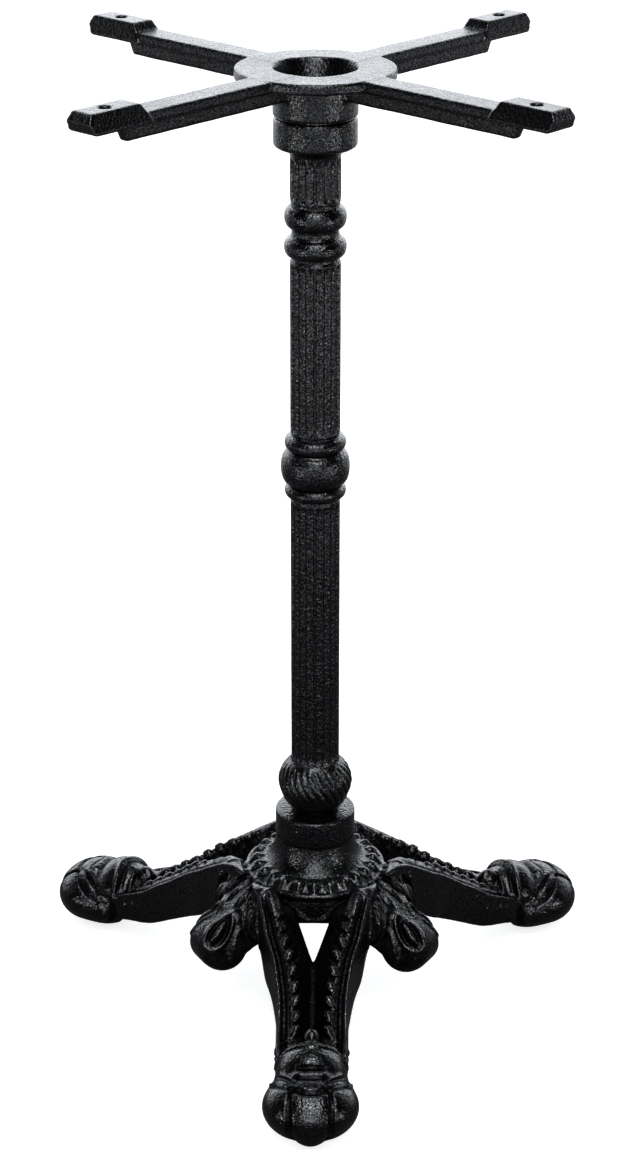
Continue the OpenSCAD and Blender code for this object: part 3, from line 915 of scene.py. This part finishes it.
def add_paw(sector):
    for centre, radii, blend in PAW_BALLS:
        sector.ball(centre, radii, blend)
    for stations in TOE_STROKES:
        sector.stroke(stations, 1.6)
    for line in PAW_LINES:
        sector.trace(*line)
    sector.ball((177.5, 29.0, 34.5), (7.0, 4.6, 4.6), 1.5, cut=True)
    sector.trace(*PAW_NOTCH_LINE)


def cut_hollows(sector, radius):
    out, across, z = sector.out, sector.across, sector.z
    sector.cut(sector.swept(HUB_HOLLOW, radius, cells=300, per_mm=2), 1.0)
    # socket for the column's foot, and the rod hole
    sector.cut(np.maximum(radius - 16.1, 144.0 - z), 0.5)
    sector.cut(np.maximum(radius - ROD_HOLE, 126 - z))
    # open throat between the bars, with drafted walls
    throat_half = 12.2 * (87.0 - out) / 35.0
    throat = np.maximum(across - throat_half - np.clip(z - 60, 0, 60) * 0.05, 52.6 - out)
    sector.cut(throat / 1.06, 2.0)
    sector.cut(overlap(across - 12.2, 36.0 - out, out - 56.0, z - 83.0), 1.5)
    # pockets under the bars
    pocket = overlap(z - (LEG_TOP - 17.0)[:, None, None],
                     across - (LEG_HALF[:, None, None] - 7.0),
                     np.maximum(4.5, (88 - out) * 15 / 48 + 6.5) - across,
                     62 - out, out - 140)
    sector.cut(pocket / 1.3, 2.5)
    # round pocket behind the paw
    sector.cut(np.maximum(np.sqrt((out - 164.0) ** 2 + across * across) - 14.5, z - 32), 2.0)
    # flat sole, recess for the glide and hole for its stud
    from_stud = np.sqrt((out - STUD_OUT) ** 2 + across * across)
    sector.cut(z - 3.0)
    sector.cut(np.maximum(from_stud - 12.2, z - 10.5))
    sector.cut(np.maximum(from_stud - 4.3, z - 39.5))


def leg_painted_shade(points):
    """Painted shade in the grooves along the bars and in the valley between them, dimming their
    reflection.
    """
    out, across = fold(points[:, 0], points[:, 1], 3, -math.pi / 2)
    z = points[:, 2]
    half, top, low = (np.interp(out, np.arange(LEG_CELLS), values)
                      for values in (LEG_HALF, LEG_TOP, LEG_LOW))
    inset = half - across
    upper = step(z, (top + low) / 2, (top + low) / 2 + 4)
    groove = (step(inset, 3.2, 4.4) * (1 - step(inset, 7.4, 8.6))
              * step(out, 58, 66) * (1 - step(out, 158, 168)) * upper)
    valley = (step(inset, 15.0, 20.0) * step(out, 60, 70) * (1 - step(out, 144, 152))
              * (z < top - 2.0))
    return (1 - 0.45 * groove) * (1 - 0.75 * valley)


def store_openness(ob, grid):
    """Stores how open the field is above each vertex, times the legs' painted shade: 1 on swells and
    flats, less in creases; the iron's shader paints shade into the creases by it.
    """
    mesh = ob.data
    flat = np.empty(len(mesh.vertices) * 3, f4)
    mesh.vertices.foreach_get("co", flat)
    points = flat.reshape(-1, 3).astype(float) * 1000.0
    points[:, 2] += TABLETOP
    points = turned(points, -TURN)
    cell = grid[2]
    normal = np.stack([trilinear(*grid, points + axis * cell) - trilinear(*grid, points - axis * cell)
                       for axis in np.eye(3)], 1)
    normal /= np.maximum(np.linalg.norm(normal, axis=1, keepdims=True), 1e-6)
    heights = (1.8, 3.2, 4.8)
    openness = sum(np.clip(trilinear(*grid, points + normal * height) / height, 0, 1)
                   for height in heights) / len(heights)
    attribute = mesh.attributes.new("openness", "FLOAT", "POINT")
    attribute.data.foreach_set("value", (openness * leg_painted_shade(points)).astype(f4))


def build_base():
    sector = Sector((LEG_CELLS, 98, 162), floor=-2)
    radius = np.sqrt(sector.out * sector.out + sector.across * sector.across)
    add_bars(sector, radius)
    add_scallops(sector)
    add_hub(sector, radius)
    add_shoulder(sector)
    add_leaf(sector)
    add_paw(sector)
    cut_hollows(sector, radius)
    grid = unfold(sector, folds=3, first=LEG_ANGLES["front"], cell=1.15,
                  low=(-212, -238, 0.4), high=(213, 128, 156.0))
    ob = to_object("paw_base_casting", *surface(*grid), turn=TURN,
                   triangles=196000)
    store_openness(ob, grid)
    return ob


# ------------------------------------------------------------------ hardware
def thread_wave(height, angle, pitch):
    """A triangle wave from 0 to 1 that climbs one pitch in each turn."""
    return np.abs((height / pitch - angle / (2 * math.pi)) % 1.0 * 2 - 1)


def thread(pitch, depth, start, end, runout=2.0):
    def relief(radius, height, angle, label):
        cut = np.clip((thread_wave(height, angle, pitch) - 0.12) / 0.76, 0, 1)
        fade = step(height, start, start + runout) * (1 - step(height, end - runout * 0.3, end))
        return np.where(label == "thread", -depth * cut * fade, 0)
    return relief


def build_rod():
    foot, head = ROD_FOOT, ROD_HEAD
    profile = [(0.02, foot), (4.9, foot), (5.9, foot + 1.1)]
    profile += [(5.95, z, "thread") for z in np.arange(foot + 1.3, foot + 34, 0.22)]
    profile += [(5.95, z) for z in np.arange(foot + 36, head - 34, 20.0)]
    profile += [(5.95, z, "thread") for z in np.arange(head - 33, head - 1.3, 0.22)]
    profile += [(5.9, head - 1.1), (4.9, head), (0.02, head)]
    lower = thread(ROD_PITCH, 0.95, foot - 5, foot + 32)
    upper = thread(ROD_PITCH, 0.95, head - 31, head + 5)

    def relief(radius, height, angle, label):
        return np.where(height < 400, lower(radius, height, angle, label),
                        upper(radius, height, angle, label))
    return to_object("tie_rod_threaded", *lathe(profile, 40, relief))


def washer(name, base, rim):
    top, hole, edge = base + WASHER_THICK, ROD_HOLE, 0.35
    profile = [
        (hole + edge, base), (rim - edge, base), (rim - edge * 0.3, base + edge * 0.3),
        (rim, base + edge), (rim, base + WASHER_THICK / 2), (rim, top - edge),
        (rim - edge * 0.3, top - edge * 0.3), (rim - edge, top), ((rim + hole) / 2, top),
        (hole + edge, top), (hole, top - edge), (hole, base + edge)]
    return to_object(name, *lathe(profile, 96))


def spring_washer(name, base):
    """A split ring of square wire, its two ends a little apart in height."""
    count, half_gap = 90, 0.075
    edge, inner, outer, thick = 0.3, 6.25, 9.95, 2.7
    section = [(inner + edge, 0), (outer - edge, 0), (outer, edge), (outer, thick - edge),
               (outer - edge, thick), (inner + edge, thick), (inner, thick - edge),
               (inner, edge)]
    verts = []
    for i, a in enumerate(np.linspace(half_gap, 2 * math.pi - half_gap, count)):
        lift = 0.28 * i / (count - 1)
        for radius, z in section:
            verts.append((radius * math.cos(a), radius * math.sin(a), base + 0.01 + z + lift))
    sides = len(section)
    faces = []
    for i in range(count - 1):
        here, ahead = i * sides, (i + 1) * sides
        for j in range(sides):
            k = (j + 1) % sides
            faces.append((ahead + j, ahead + k, here + k, here + j))
    faces.append(tuple(range(sides)))
    faces.append(tuple(range((count - 1) * sides, count * sides))[::-1])
    return to_object(name, verts, faces)


def hex_nut(name, base):
    top, corner, bore = base + NUT_HEIGHT, 10.4, 6.05
    rises = [0, 0.25, 0.6, 1.0, 1.5, 2.1, 3.0, 5.0, 7.0, 7.9, 8.5, 9.0, 9.4, 9.75, 10.0]
    profile = [(7.0, base), (8.2, base)] + [(corner, base + rise, "side") for rise in rises]
    profile += [(8.2, top), (7.0, top), (bore, top - 0.9)]
    profile += [(bore, top - 0.9 - 0.28 * i, "thread") for i in range(1, 30)]
    profile += [(bore, base + 0.9)]

    def relief(radius, height, angle, label):
        from_flat = (angle % (math.pi / 3)) - math.pi / 6
        flat = corner * math.cos(math.pi / 6) / np.cos(from_flat)
        chamfer = 8.75 + np.minimum(height - base, top - height) * 1.9
        side = np.where(label == "side", np.minimum(flat, chamfer) - radius, 0)
        wave = thread_wave(height, angle, ROD_PITCH)
        return side + np.where(label == "thread", 0.35 * wave, 0)
    return to_object(name, *lathe(profile, 120, relief))


def on_leg(key, verts):
    """Moves a turned piece out to a leg's stud."""
    angle = LEG_ANGLES[key] + TURN
    verts[:, :2] += (STUD_OUT * math.cos(angle), STUD_OUT * math.sin(angle))
    return verts


def build_stud(key):
    profile = [(0.02, 2.5), (6.1, 2.5), (6.5, 2.9), (6.5, 4.1), (6.1, 4.5), (4.0, 4.55),
               (3.95, 5.2)]
    profile += [(3.98, z, "thread") for z in np.arange(5.4, 33.8, 0.17)]
    profile += [(3.6, 34.4), (3.0, 35.0), (0.02, 35.0)]
    verts, quads = lathe(profile, 32, thread(1.25, 0.65, 5.0, 40))
    return to_object("stud_%s_threaded" % key, on_leg(key, verts), quads)


def build_glide(key):
    profile = [
        (0.02, 0.0), (8.6, 0.0), (9.6, 0.12), (10.4, 0.5), (10.85, 1.1), (11.0, 1.9),
        (11.0, 2.9, "ribbed"), (11.0, 4.6, "ribbed"), (10.95, 5.3), (10.6, 5.8), (9.9, 6.3),
        (9.2, 6.75), (8.6, 6.95), (7.6, 7.0), (5.2, 7.0), (4.4, 6.8), (4.08, 6.4),
        (4.08, 4.6), (6.56, 4.58), (6.56, 2.42), (0.02, 2.4)]

    def relief(radius, height, angle, label):
        return np.where(label == "ribbed", -0.22 * (np.cos(angle * 30) > 0.35), 0)
    verts, quads = lathe(profile, 120, relief)
    return to_object("glide_%s_moulded" % key, on_leg(key, verts), quads)


# ------------------------------------------------------------------ pieces
def finish_piece(ob, node, body, material, crease=None):
    """Gives a piece its material and its CAD part; crease is in degrees."""
    ob.data.materials.append(material)
    if crease is not None:
        ob.data.set_sharp_from_angle(angle=math.radians(crease))
    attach(ob, body)
    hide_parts(node)


def finish_steel(ob, node, crease=35, body="root"):
    finish_piece(ob, node, body, ZINC, crease)


finish_piece(build_spider(), "top_spider", "root", IRON_TOP)
finish_piece(build_column(), "column", "root", IRON_COLUMN, crease=50)
finish_piece(build_base(), "paw_base", "root", IRON)
finish_steel(build_rod(), "tie_rod")

top_spring = BOWL_FLOOR + WASHER_THICK
bottom_washer = HUB_CEILING - WASHER_THICK
bottom_spring = bottom_washer - SPRING_THICK
# (end, washer's outer radius, then the undersides of washer, spring washer and nut)
for end, rim, washer_z, spring_z, nut_z in (
        ("top", 17.0, BOWL_FLOOR, top_spring, top_spring + SPRING_THICK),
        ("bottom", 20.0, bottom_washer, bottom_spring, bottom_spring - NUT_HEIGHT)):
    finish_steel(washer(end + "_washer_plate", washer_z, rim), end + "_washer")
    finish_steel(spring_washer(end + "_spring_washer_split", spring_z), end + "_spring_washer")
    finish_steel(hex_nut(end + "_nut_hex", nut_z), end + "_nut", crease=30)
for key in LEG_ANGLES:
    finish_steel(build_stud(key), "stud_" + key, body=key + "_stud")
    finish_piece(build_glide(key), "glide_" + key, key + "_glide", PLASTIC,
                 crease=40)


# ------------------------------------------------------------------ floor
def floor_material():
    """A pale floor that the camera sees flat grey; other rays see a painted shadow darkening it round
    the base.
    """
    shader = Shader(bpy.data.materials.new("floor_pale"))
    camera_ray = shader.add("ShaderNodeLightPath").outputs["Is Camera Ray"]
    place = shader.add("ShaderNodeSeparateXYZ", {"Vector": shader.coords["Object"]}).outputs
    x, y = place["X"], place["Y"]
    far = shader.math("SQRT", shader.plus(shader.times(x, x), shader.times(y, y)))
    # the painted shadow reaches further towards the sides; 0.01 keeps the division finite
    sideways = shader.math("DIVIDE", shader.math("ABSOLUTE", x), shader.plus(far, 0.01))
    squeeze = shader.map_range(sideways, low=0.55, high=0.9, to_low=1 / 3.6, to_high=0.12)
    # painted shadow round the base, seen only by reflections and bounce light
    painted_floor_shadow = shader.ramp(shader.times(far, squeeze), [
        (0.14, (0.12, 0.12, 0.122)), (0.25, (0.22, 0.22, 0.224)), (0.36, (0.62, 0.62, 0.627)),
        (0.62, (0.90, 0.90, 0.905)), (1.0, (0.95, 0.95, 0.95))])
    glow = 0.62                 # emission seen by the camera
    return shader.finish({
        "Base Color": shader.mix(camera_ray, painted_floor_shadow, (0.62, 0.62, 0.62)),
        "Roughness": 0.85,
        "Emission Color": (1, 1, 1, 1),
        "Emission Strength": shader.times(camera_ray, glow),
        "Specular IOR Level": 0.0})


FLOOR_HALF = 6000.0
FLOOR_HEIGHT = -0.4
floor_corners = [(x, y, FLOOR_HEIGHT) for x in (-FLOOR_HALF, FLOOR_HALF)
                 for y in (-FLOOR_HALF, FLOOR_HALF)]
floor = to_object("floor", floor_corners, [(0, 2, 3, 1)], smooth=False)
floor.data.materials.append(floor_material())


# ------------------------------------------------------------------ world and lights
def build_world():
    """A long soft panel arching over from the front, and a pale sweep low behind."""
    world = bpy.data.worlds.new("studio")
    bpy.context.scene.world = world
    panel_strength, sweep_strength, ambient, camera_strength = 3.0, 2.6, 0.02, 1.25
    shader = Shader(world)
    direction = shader.add("ShaderNodeSeparateXYZ", {"Vector": shader.coords["Generated"]}).outputs
    x, y, z = direction["X"], direction["Y"], direction["Z"]
    across = shader.fall(shader.math("ABSOLUTE", x), low=0.12, high=0.44)
    ahead = shader.fall(y, low=-0.05, high=0.30)
    panel = shader.times(shader.times(across, ahead), shader.rise(z, low=-0.05, high=0.12))
    panel = shader.times(panel, panel_strength)
    sweep = shader.times(shader.rise(y, low=0.30, high=0.75), shader.fall(z, low=0.45, high=0.85))
    level = shader.plus(panel, shader.times(sweep, sweep_strength))
    level = shader.plus(level, ambient)
    camera_ray = shader.add("ShaderNodeLightPath").outputs["Is Camera Ray"]
    strength = shader.math("MAXIMUM", level, shader.times(camera_ray, camera_strength))
    shader.finish({"Color": (0.93, 0.962, 1.0, 1), "Strength": strength},
                  kind="ShaderNodeBackground", output="ShaderNodeOutputWorld")


def area_light(name, location, target, size, power, colour):
    """A rectangular light in metres and watts, unseen by the camera."""
    light = bpy.data.lights.new(name, "AREA")
    light.shape = "RECTANGLE"
    light.size, light.size_y = size
    light.energy = power
    light.color = colour
    ob = bpy.data.objects.new(name, light)
    bpy.context.scene.collection.objects.link(ob)
    ob.location = location
    aim = Vector(target) - Vector(location)
    ob.rotation_euler = aim.to_track_quat("-Z", "Y").to_euler()
    ob.visible_camera = False


build_world()
area_light("key_front_top", location=(0.1, -1.15, 1.35), target=(0, 0, -0.45),
           size=(0.30, 0.26), power=7, colour=(1.0, 0.99, 0.98))
for side in (-1, 1):
    area_light("low_front", location=(side * 1.5, -1.15, -0.52), target=(0, 0, -0.62),
               size=(0.42, 0.28), power=4.5, colour=(0.97, 0.99, 1.0))
for name, x, power in (("side_left", -1.5, 0.6), ("side_right", 1.5, 0.9)):
    area_light(name, location=(x, 0.25, -0.1), target=(0, 0, -0.5),
               size=(0.3, 1.2), power=power, colour=(0.96, 0.98, 1.0))


# ------------------------------------------------------------------ camera and view
def build_camera():
    """In front of the base and above it, looking down, swung a little about Z."""
    yaw = math.radians(-1.45)
    look_down = 23.28           # degrees below level
    lens = bpy.data.cameras.new("camera")
    lens.lens = 86.06
    lens.sensor_width = 36.0
    lens.sensor_fit = "AUTO"
    lens.clip_start, lens.clip_end = 0.05, 50
    camera = bpy.data.objects.new("camera", lens)
    bpy.context.scene.collection.objects.link(camera)
    camera.location = Matrix.Rotation(yaw, 3, "Z") @ Vector((-0.00236, -1.82745, 0.40924))
    camera.rotation_euler = (math.radians(90 - look_down), 0, yaw)
    bpy.context.scene.camera = camera


build_camera()
view = bpy.context.scene.view_settings
view.view_transform = "Standard"
view.look = "Medium High Contrast"
view.exposure = 0.0
view.gamma = 1.0
